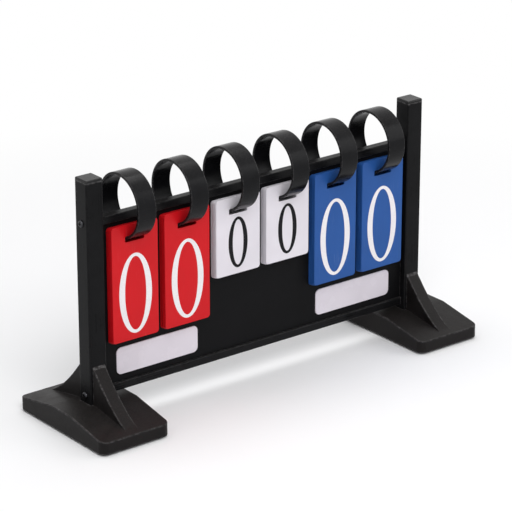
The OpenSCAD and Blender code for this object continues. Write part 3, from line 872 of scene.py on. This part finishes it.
def rail_screw_heights():
    """Heights of the screws through the posts into the bottom and the top rail."""
    low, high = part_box("rail_screws")
    head_r = (high.y - low.y) / 2
    return low.z + head_r, high.z - head_r


def rail_screw_hole(x, z, depth):
    s = sizes()
    return rod("hole", (x, 0, z), s.rail_screw / 2 + s.hole_gap, depth, ACROSS, SCREW_SIDES)


class SCOREBOARD_OT_posts(bpy.types.Operator):
    """Models the two hollow square posts, drilled and grooved for their screws and the panel"""

    bl_idname = "scoreboard.posts"
    bl_label = "Posts"

    def execute(self, context):
        s = sizes()
        panel_low, panel_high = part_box("back_panel")
        play = s.panel_play
        for side, sign in zip(SIDES, (-1, 1)):
            low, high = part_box(f"{side}_post")
            tube = post_tube(f"{side}_square_post", low, high)
            inner = low.x if sign > 0 else high.x
            x_ends = sorted((inner - sign * PASS, inner + sign * (s.post_wall + PASS)))
            groove = block(
                "groove", (x_ends[0], panel_low.y - play, panel_low.z - play),
                (x_ends[1], panel_high.y + play, panel_high.z + play),
            )
            middle, width = (low.x + high.x) / 2, high.x - low.x
            holes = [rail_screw_hole(middle, z, width + PASS) for z in rail_screw_heights()]
            apply_boolean(tube, join("openings", [groove, *holes]), "DIFFERENCE")
            finish_piece(tidy_mesh(tube), "frame", "frame_plastic", "post_tube", f"{side}_post")
        return {"FINISHED"}


class SCOREBOARD_OT_post_caps(bpy.types.Operator):
    """Models the caps: a softly rounded head and a spigot drawn out of its underside"""

    bl_idname = "scoreboard.post_caps"
    bl_label = "Post caps"

    def execute(self, context):
        s = sizes()
        for side in SIDES:
            low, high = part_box(f"{side}_post_cap")
            seat = high.z - s.cap_head
            cap = block(f"{side}_rounded_cap", (low.x, low.y, seat), high)
            round_edges(cap, along(UP), s.post_edge, steps=4)
            round_edges(cap, rim(UP, high.z - NEAR), s.cap_edge, steps=4)
            edit(cap)
            pick(cap, "FACE", lambda f: f.normal.z < -PARALLEL)
            bpy.ops.mesh.inset(thickness=s.post_wall + s.spigot_gap, use_even_offset=True)
            bpy.ops.mesh.extrude_region_move(TRANSFORM_OT_translate={"value": (0, 0, low.z - seat)})
            leave()
            finish_piece(tidy_mesh(cap), "frame", "frame_plastic", "cap_moulding", f"{side}_post_cap")
        return {"FINISHED"}


class SCOREBOARD_OT_rails(bpy.types.Operator):
    """Models the two rails, drilled at their ends and grooved for the panel"""

    bl_idname = "scoreboard.rails"
    bl_label = "Rails"

    def execute(self, context):
        s = sizes()
        panel_low, panel_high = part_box("back_panel")
        grip = s.rail_screw_length - size_of("left_post").x
        for place, screw_z in zip(("bottom", "top"), rail_screw_heights()):
            low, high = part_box(f"{place}_rail")
            rail = block(f"{place}_grooved_rail", low, high)
            round_edges(rail, along(ACROSS), s.rail_edge, steps=4)
            z_ends = (low.z - PASS, low.z + s.groove_depth)
            if place == "bottom":
                z_ends = (high.z - s.groove_depth, high.z + PASS)
            groove = block(
                "groove", (low.x - PASS, panel_low.y - s.panel_play, z_ends[0]),
                (high.x + PASS, panel_high.y + s.panel_play, z_ends[1]),
            )
            holes = [rail_screw_hole(x, screw_z, 2 * grip + PASS) for x in (low.x, high.x)]
            apply_boolean(rail, join("openings", [groove, *holes]), "DIFFERENCE")
            finish_piece(tidy_mesh(rail), "frame", "frame_plastic", "rail_bar", f"{place}_rail")
        return {"FINISHED"}


class SCOREBOARD_OT_panel(bpy.types.Operator):
    """Models the back panel with the slots that the strap rings pass through"""

    bl_idname = "scoreboard.panel"
    bl_label = "Back panel"

    def execute(self, context):
        s = sizes()
        low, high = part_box("back_panel")
        board = block("grained_panel", low, high)
        for pack in PACKS:
            middle, radius, width = ring_size(pack)
            left, right = (middle.x + sign * (width / 2 + s.strap_play) for sign in (-1, 1))
            bottom = middle.z - radius - s.strap_play
            top = middle.z - radius + s.strap_thickness + s.strap_play
            slot = block("slot", (left, low.y - PASS, bottom), (right, high.y + PASS, top))
            round_edges(slot, along(DEEP), s.slot_corner, steps=4)
            place = (middle.x, 0, centre_of("ring_rivets").z)
            hole = rod("hole", place, s.rivet / 2 + s.hole_gap, high.y - low.y + PASS, DEEP)
            apply_boolean(board, join("openings", [slot, hole]), "DIFFERENCE")
        round_edges(
            tidy_mesh(board),
            lambda e: is_hard(e, SQUARE) and all(
                abs(v.co.x) < high.x - PASS and low.z + PASS < v.co.z < high.z - PASS for v in e.verts
            ),
            s.panel_edge, steps=2,
        )
        finish_piece(board, "frame", "panel_plastic", "panel_board", "back_panel")
        return {"FINISHED"}


class SCOREBOARD_OT_post_plugs(bpy.types.Operator):
    """Finishes the plugs inside the posts, which keep their construction shape"""

    bl_idname = "scoreboard.post_plugs"
    bl_label = "Post plugs"

    def execute(self, context):
        for side in SIDES:
            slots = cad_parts[f"{side}_post_plug"].data.materials
            slots.clear()
            slots.append(finish("foot_moulding"))
        return {"FINISHED"}


class SCOREBOARD_OT_name_plates(bpy.types.Operator):
    """Models the two blank white name plates with rounded corners and a softened face"""

    bl_idname = "scoreboard.name_plates"
    bl_label = "Name plates"

    def execute(self, context):
        s = sizes()
        for side in SIDES:
            low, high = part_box(f"{side}_name_plate")
            plate = block(f"{side}_write_on_plate", low, high)
            round_edges(plate, along(DEEP), s.plate_corner, steps=10)
            round_edges(plate, rim(-DEEP, -low.y - NEAR), s.plate_edge)
            finish_piece(plate, "frame", "plate_white", "plate_sheet", f"{side}_name_plate")
        return {"FINISHED"}


def crossed_screw(head_r, head_t, shank_r, shank):
    """A screw that points down: a domed head with a crossed recess, resting on z = 0, over a plain shank."""
    s = sizes()
    head = rod("head", (0, 0, head_t / 2), head_r, head_t)
    round_edges(head, rim(UP, head_t - NEAR), head_t * DOME, steps=5)
    arm, half, floor = head_r * s.recess_reach, s.recess_width / 2, head_t * s.recess_floor
    for x, y in ((arm, half), (half, arm)):
        apply_boolean(head, block("recess", (-x, -y, floor), (x, y, head_t + PASS)), "DIFFERENCE")
    tip = rod("tip", (0, 0, -shank / 2), shank_r, shank, sides=SCREW_SIDES)
    round_edges(tip, rim(-UP, shank - NEAR), s.recess_width / 2, steps=1)
    return join("screw", [tip, head])


def placed(obj, name, place, way):
    """A copy whose top points along way, moved to a place."""
    twin = copy_of(obj, name)
    twin.rotation_euler = UP.rotation_difference(way).to_euler()
    twin.location = place
    return settle(twin)


class SCOREBOARD_OT_screws(bpy.types.Operator):
    """Models the screws through the posts into the rails and up through the feet"""

    bl_idname = "scoreboard.screws"
    bl_label = "Screws"

    def execute(self, context):
        s = sizes()
        low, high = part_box("rail_screws")
        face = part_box("right_post")[1].x
        screw = crossed_screw((high.y - low.y) / 2, high.x - face, s.rail_screw / 2, s.rail_screw_length)
        copies = [
            placed(screw, "copy", (sign * face, 0, z), ACROSS * sign)
            for sign in (-1, 1) for z in rail_screw_heights()
        ]
        bpy.data.objects.remove(screw)
        screws = join("crossed_rail_screws", copies)
        finish_piece(screws, "frame", "screw_black", "black_steel", "rail_screws")
        low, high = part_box("foot_screws")
        head_r = (high.y - low.y) / 2
        seat = low.z + s.foot_screw_head
        screw = crossed_screw(head_r, s.foot_screw_head, s.foot_screw / 2, high.z - seat)
        ends = (low.x + head_r, high.x - head_r)
        copies = [placed(screw, "copy", (x, 0, seat), -UP) for x in ends]
        bpy.data.objects.remove(screw)
        screws = join("crossed_foot_screws", copies)
        finish_piece(screws, "frame", "screw_steel", "plated_steel", "foot_screws")
        return {"FINISHED"}


# Rings

def ring_size(pack):
    """Middle, outer radius and width of a pack's strap ring."""
    low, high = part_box(f"{pack}_ring")
    radius = (high.y - low.y) / 2
    return Vector(((low.x + high.x) / 2, 0, high.z - radius)), radius, high.x - low.x


class SCOREBOARD_OT_rings(bpy.types.Operator):
    """Models the strap rings: a flat rounded section spun round the rail, with the tab behind the panel"""

    bl_idname = "scoreboard.rings"
    bl_label = "Strap rings"

    def execute(self, context):
        s = sizes()
        middle, radius, width = ring_size(PACKS[0])
        split = s.strap_split / radius
        take()
        bpy.ops.mesh.primitive_plane_add(
            size=1, location=middle - UP * (radius - s.strap_thickness / 2), rotation=(math.pi / 2, 0, 0)
        )
        ring = sized(bpy.context.object, width, s.strap_thickness)
        edit(ring)
        pick_all()
        bpy.ops.mesh.bevel(offset=s.strap_edge, segments=3, affect="VERTICES")
        pick_all()
        bpy.ops.transform.rotate(value=split / 2, orient_axis="X", center_override=middle)
        pick_all()
        bpy.ops.mesh.spin(steps=RING_STEPS, angle=2 * math.pi - split, center=middle, axis=ACROSS)
        pick_all()
        bpy.ops.mesh.fill_holes(sides=0)
        leave()
        tidy_mesh(ring)
        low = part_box(f"{PACKS[0]}_ring")[0]
        panel_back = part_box("back_panel")[1].y
        tab = block(
            "tab", (middle.x - width / 2, panel_back, low.z),
            (middle.x + width / 2, panel_back + s.strap_thickness, middle.z - radius + s.strap_thickness / 2),
        )
        bottom = low.z + NEAR
        round_edges(tab, lambda e: runs_along(e, DEEP) and e.verts[0].co.z < bottom, s.tab_corner, steps=6)
        round_edges(tab, rim(DEEP, panel_back + NEAR), s.strap_edge, steps=2)
        apply_boolean(ring, tab, "UNION")
        place = (middle.x, panel_back, centre_of("ring_rivets").z)
        hole = rod("hole", place, s.rivet / 2 + s.hole_gap, 2 * (s.strap_thickness + PASS), DEEP)
        apply_boolean(ring, hole, "DIFFERENCE")
        for pack in PACKS:
            shift = (ring_size(pack)[0].x - middle.x, 0, 0)
            strap = copy_of(ring, f"{pack}_strap", shift)
            finish_piece(strap, "frame", "ring_plastic", "strap_moulding", f"{pack}_ring")
        bpy.data.objects.remove(ring)
        return {"FINISHED"}


class SCOREBOARD_OT_rivets(bpy.types.Operator):
    """Models the domed rivets that hold the rings' tabs"""

    bl_idname = "scoreboard.rivets"
    bl_label = "Ring rivets"

    def execute(self, context):
        s = sizes()
        low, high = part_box("ring_rivets")
        head_r = (high.z - low.z) / 2
        head_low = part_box("back_panel")[1].y + s.strap_thickness
        head_t = high.y - head_low
        shank = head_low - low.y
        z = (low.z + high.z) / 2
        rivets = []
        for pack in PACKS:
            x = ring_size(pack)[0].x
            head = rod("head", (x, (head_low + high.y) / 2, z), head_r, head_t, DEEP)
            round_edges(head, rim(DEEP, high.y - NEAR), head_t * DOME, steps=6)
            pin = rod("pin", (x, (low.y + head_low) / 2, z), s.rivet / 2, shank, DEEP, RIVET_SIDES)
            round_edges(pin, rim(-DEEP, -low.y - NEAR), s.strap_edge)
            rivets += [head, pin]
        finish_piece(join("domed_rivets", rivets), "frame", "ring_plastic", "strap_moulding", "ring_rivets")
        return {"FINISHED"}


# Cards

def is_set(pack):
    return pack.endswith("sets")


def card_colour(pack):
    return "white" if is_set(pack) else "red" if pack.startswith("home") else "blue"


def card_places(pack):
    """Depth of each card's middle plane and height of its top edge, front card first."""
    s = sizes()
    middle, radius, _ = ring_size(pack)
    inner = radius - s.strap_thickness
    first, second = centre_of(f"{pack}_card_0").y, centre_of(f"{pack}_card_1").y
    half = size_of(f"{pack}_card_0").y / 2

    def slot_start(depth):
        return math.sqrt(inner ** 2 - (abs(depth) + half) ** 2) - s.slot_top

    bridge = slot_start(first) - (middle.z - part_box(f"{pack}_card_0")[1].z)
    places = []
    for k in range(CARDS):
        depth = first + (second - first) * k
        places.append((depth, middle.z - slot_start(depth) + bridge))
    slot_height = math.sqrt(radius ** 2 - (abs(first) - half) ** 2) + s.slot_low - slot_start(first)
    return places, bridge, slot_height


def card_blank(pack):
    """One card with rounded corners and its slot, its top edge at z = 0 and its middle plane at y = 0."""
    s = sizes()
    size = size_of(f"{pack}_card_0")
    bridge, slot_height = card_places(pack)[1:]
    blank = block("blank", (-size.x / 2, -size.y / 2, -size.z), (size.x / 2, size.y / 2, 0))
    round_edges(blank, along(DEEP), s.card_corner, steps=6)
    slot_half = ring_size(pack)[2] / 2 + s.slot_side
    slot = block("slot", (-slot_half, -PASS, -bridge - slot_height), (slot_half, PASS, -bridge))
    round_edges(slot, along(DEEP), s.slot_corner, steps=4)
    apply_boolean(blank, slot, "DIFFERENCE")
    tidy_mesh(blank)
    return round_edges(blank, lambda e: is_hard(e, SQUARE), s.card_edge, steps=2)


class SCOREBOARD_OT_cards(bpy.types.Operator):
    """Models the six packs of ten cards, each lying a little off the middle of its pack"""

    bl_idname = "scoreboard.cards"
    bl_label = "Cards"

    def execute(self, context):
        s = sizes()
        lie = random.Random(s.shuffle_seed)
        blanks = {True: card_blank("home_sets"), False: card_blank("home_tens")}
        for pack in PACKS:
            x = ring_size(pack)[0].x
            slot = f"card_{card_colour(pack)}"
            sheet = f"{card_colour(pack)}_sheet"
            rear = []
            for k, (y, z) in enumerate(card_places(pack)[0]):
                aside = lie.uniform(-1, 1) * s.card_shuffle * (1 if k else FRONT_SHUFFLE)
                card = copy_of(blanks[is_set(pack)], f"{pack}_card", (x + aside, y, z))
                if k > 1:
                    rear.append(card)
                    continue
                body = f"{pack}_{'front' if k == 0 else 'next'}_card"
                card.name = body
                finish_piece(card, body, slot, sheet, f"{pack}_card_{k}")
            rear_cards = join(f"{pack}_rear_cards", rear)
            finish_piece(rear_cards, f"{pack}_rear_cards", slot, sheet, f"{pack}_cards_2_to_9")
        for blank in blanks.values():
            bpy.data.objects.remove(blank)
        return {"FINISHED"}


# Numerals

def oval_ring(width, height, stroke, hair):
    """An upright oval band in the XZ plane: two circles bridged."""
    ovals = []
    for size in ((width, height), (width - 2 * stroke, height - 2 * hair)):
        take()
        bpy.ops.mesh.primitive_circle_add(vertices=OVAL_POINTS, radius=0.5, rotation=(math.pi / 2, 0, 0))
        ovals.append(sized(bpy.context.object, *size))
    ring = join("zero", ovals)
    edit(ring)
    pick_all()
    bpy.ops.mesh.bridge_edge_loops()
    leave()
    return ring


def outline_shape(name, loops):
    """A flat filled shape in the XZ plane from closed outlines of (x, z, is_smooth) points."""
    curve = bpy.data.curves.new(name, "CURVE")
    curve.dimensions = "2D"
    curve.fill_mode = "BOTH"
    curve.resolution_u = 10
    for points in loops:
        spline = curve.splines.new("BEZIER")
        spline.bezier_points.add(len(points) - 1)
        for knot, (x, z, smooth) in zip(spline.bezier_points, points):
            knot.co = (x, z, 0)
            knot.handle_left_type = knot.handle_right_type = "AUTO" if smooth else "VECTOR"
        spline.use_cyclic_u = True
    shape = bpy.data.objects.new(name, curve)
    bpy.context.scene.collection.objects.link(shape)
    take(shape)
    bpy.ops.object.convert(target="MESH")
    shape.rotation_euler = (math.pi / 2, 0, 0)
    return settle(shape)


def one_shape(width, height, stroke, hair):
    """A numeral 1 with a flag and a thin foot."""
    h, w = height / 2, stroke / 2
    foot = width * 0.30
    return outline_shape("one", [[
        (-foot, -h, False), (foot, -h, False), (foot, -h + hair * 0.8, False), (w, -h + hair, False),
        (w, h, False), (w - hair, h, False), (-w - width * 0.10, h - stroke * 1.5, True),
        (-w - width * 0.26, h - stroke * 2.2, False), (-w - width * 0.24, h - stroke * 2.2 - hair, False),
        (-w, h - stroke * 1.75, False), (-w, -h + hair, False), (-foot, -h + hair * 0.8, False),
    ]])


def two_shape(width, height, stroke, hair):
    """A numeral 2: a hooked bowl, a tail that thins as it falls and a full foot."""
    h, w = height / 2, width / 2
    return outline_shape("two", [[
        (-w, -h, False), (w * 0.92, -h, False), (w, -h + height * 0.17, False),
        (w - hair, -h + height * 0.17, False), (w * 0.70, -h + stroke * 1.15, True),
        (-w + stroke * 1.5, -h + stroke * 1.15, False), (-w + width * 0.42, -h + height * 0.30, True),
        (w * 0.80, -h + height * 0.52, True), (w * 0.98, h - height * 0.27, True),
        (w * 0.62, h - height * 0.055, True), (0, h, True), (-w * 0.66, h - height * 0.06, True),
        (-w * 0.94, h - height * 0.24, True), (-w * 0.60, h - height * 0.295, True),
        (-w * 0.44, h - height * 0.22, True), (-w * 0.52, h - height * 0.10, True),
        (0, h - hair, True), (w * 0.40, h - height * 0.10, True),
        (w * 0.98 - stroke, h - height * 0.27, True), (w * 0.36, -h + height * 0.50, True),
        (-w + width * 0.12, -h + height * 0.22, True), (-w, -h + hair * 1.6, False),
    ]])


def numeral(digit, pack):
    """The printed shape of a digit, as thick as ink, its foot at z = 0 and its back at y = 0."""
    s = sizes()
    if is_set(pack):
        given = (s.set_ink_width, s.set_ink_height, s.set_stroke, s.set_hair)
    else:
        given = (s.score_ink_width, s.score_ink_height, s.score_stroke, s.score_hair)
    shape = (oval_ring, one_shape, two_shape)[digit](*given)
    low = min(v.co.z for v in shape.data.vertices)
    edit(shape)
    pick_all()
    bpy.ops.mesh.extrude_region_move(TRANSFORM_OT_translate={"value": (0, -s.ink_thickness, 0)})
    pick_all()
    bpy.ops.transform.translate(value=(0, 0, -low))
    bpy.ops.mesh.normals_make_consistent(inside=False)
    leave()
    return shape


def print_numeral(shape, pack, k, name, body, on_back):
    """Lays a copy of a numeral on the front or the back of card k of a pack."""
    s = sizes()
    y, top = card_places(pack)[0][k]
    half = size_of(f"{pack}_card_0").y / 2
    foot = top - size_of(f"{pack}_card_0").z + s.ink_foot
    # The ink starts a fifth of its thickness inside the card, so that no gap shows
    seat = half - 0.2 * s.ink_thickness
    print_ = copy_of(shape, name)
    if on_back:
        print_.rotation_euler = (0, 0, math.pi)
        settle(print_)
    print_.location = (ring_size(pack)[0].x, y + (seat if on_back else -seat), foot)
    settle(print_)
    slot, tone = ("frame_plastic", "black_ink") if is_set(pack) else ("card_white", "white_ink")
    finish_piece(print_, body, slot, tone)


class SCOREBOARD_OT_numerals(bpy.types.Operator):
    """Prints 0, 1 and 2 on the faces of the first three cards, and 1 and 2 on the backs of the first two"""

    bl_idname = "scoreboard.numerals"
    bl_label = "Numerals"

    def execute(self, context):
        for short in (False, True):
            packs = [pack for pack in PACKS if is_set(pack) == short]
            shapes = [numeral(digit, packs[0]) for digit in range(3)]
            for pack in packs:
                bodies = [f"{pack}_front_card", f"{pack}_next_card", f"{pack}_rear_cards"]
                for k, body in enumerate(bodies):
                    print_numeral(shapes[k], pack, k, f"{pack}_front_numeral_{k}", body, False)
                for k, body in enumerate(bodies[:2]):
                    print_numeral(shapes[k + 1], pack, k, f"{pack}_back_numeral_{k + 1}", body, True)
            for shape in shapes:
                bpy.data.objects.remove(shape)
        return {"FINISHED"}


# Stage

def aim(name, data, place, target):
    """Puts a lamp or the camera in its place and turns it to the target."""
    obj = bpy.data.objects.new(name, data)
    obj.location = place
    obj.rotation_euler = (target - Vector(place)).to_track_quat("-Z", "Y").to_euler()
    bpy.context.scene.collection.objects.link(obj)
    return obj


def seen_rays(tree):
    """1 for rays from the camera, a mirror or glass, and 0 for the rest."""
    path = add_node(tree, "ShaderNodeLightPath")
    glossy = maths(tree, "MAXIMUM", path.outputs["Is Camera Ray"], path.outputs["Is Glossy Ray"])
    return maths(tree, "MAXIMUM", glossy, path.outputs["Is Transmission Ray"])


class SCOREBOARD_OT_stage(bpy.types.Operator):
    """Sets the pale floor, the soft lamps and the camera at the photograph's viewing angle"""

    bl_idname = "scoreboard.stage"
    bl_label = "Stage"

    def execute(self, context):
        scene = context.scene
        take()
        bpy.ops.mesh.primitive_plane_add(size=FLOOR_SIZE)
        floor = context.object
        floor.name = "floor"
        material, tree, shader = new_material("floor")
        shader.inputs["Base Color"].default_value = rgba(colours().floor)
        shader.inputs["Roughness"].default_value = 0.9
        shader.inputs["Specular IOR Level"].default_value = 0.1
        place = add_node(tree, "ShaderNodeTexCoord")
        span = add_node(tree, "ShaderNodeVectorMath", operation="LENGTH")
        tree.links.new(place.outputs["Object"], span.inputs[0])
        far = ramp_between(tree, span.outputs["Value"], *FLOOR_FADE)
        white = add_node(tree, "ShaderNodeEmission")
        blend = add_node(tree, "ShaderNodeMixShader")
        tree.links.new(maths(tree, "MULTIPLY", far, seen_rays(tree)), blend.inputs[0])
        tree.links.new(shader.outputs[0], blend.inputs[1])
        tree.links.new(white.outputs[0], blend.inputs[2])
        tree.links.new(blend.outputs[0], tree.nodes["Material Output"].inputs["Surface"])
        floor.data.materials.append(material)

        world = bpy.data.worlds.new("studio")
        world.use_nodes = True
        scene.world = world
        tree = world.node_tree
        background = tree.nodes["Background"]
        background.inputs["Color"].default_value = (1, 1, 1, 1)
        strength = ramp_between(tree, seen_rays(tree), 0, 1, BACKDROP_LIGHT, 1)
        tree.links.new(strength, background.inputs["Strength"])

        target = (Vector(cad_box[0]) + Vector(cad_box[1])) / 2
        for name, (place, width, height, power) in LAMPS.items():
            data = bpy.data.lights.new(name, "AREA")
            data.shape = "RECTANGLE"
            data.size, data.size_y = width, height
            data.energy = power
            aim(name, data, place, target)

        left, up = math.radians(VIEW_LEFT), math.radians(VIEW_UP)
        way = Vector((-math.sin(left) * math.cos(up), -math.cos(left) * math.cos(up), math.sin(up)))
        data = bpy.data.cameras.new("photograph_view")
        data.lens = VIEW_LENS
        scene.camera = aim("photograph_view", data, target + way * VIEW_REACH, target)
        scene.view_settings.view_transform = "Standard"
        return {"FINISHED"}


BUILDERS = [
    SCOREBOARD_OT_feet, SCOREBOARD_OT_foot_pads, SCOREBOARD_OT_posts, SCOREBOARD_OT_post_caps,
    SCOREBOARD_OT_rails, SCOREBOARD_OT_panel, SCOREBOARD_OT_post_plugs, SCOREBOARD_OT_name_plates,
    SCOREBOARD_OT_screws, SCOREBOARD_OT_rings, SCOREBOARD_OT_rivets, SCOREBOARD_OT_cards,
    SCOREBOARD_OT_numerals, SCOREBOARD_OT_stage,
]


class SCOREBOARD_PT_builder(bpy.types.Panel):
    """Lists the pieces, the sizes and the colours of the scoreboard"""

    bl_label = "Flip Scoreboard"
    bl_idname = "SCOREBOARD_PT_builder"
    bl_space_type = "VIEW_3D"
    bl_region_type = "UI"
    bl_category = "Scoreboard"

    def draw(self, context):
        for builder in BUILDERS:
            self.layout.operator(builder.bl_idname)
        for group in (sizes(), colours()):
            box = self.layout.box()
            for name in group.bl_rna.properties.keys():
                if name not in ("name", "rna_type"):
                    box.prop(group, name)


CLASSES = [ScoreboardSizes, ScoreboardColours, *BUILDERS, SCOREBOARD_PT_builder]


def register():
    for cls in CLASSES:
        bpy.utils.register_class(cls)
    bpy.types.Scene.scoreboard_sizes = PointerProperty(type=ScoreboardSizes)
    bpy.types.Scene.scoreboard_colours = PointerProperty(type=ScoreboardColours)


def unregister():
    del bpy.types.Scene.scoreboard_sizes
    del bpy.types.Scene.scoreboard_colours
    for cls in reversed(CLASSES):
        bpy.utils.unregister_class(cls)


def main():
    register()
    for builder in BUILDERS:
        group, name = builder.bl_idname.split(".")
        getattr(getattr(bpy.ops, group), name)()


if __name__ == "__main__":
    main()
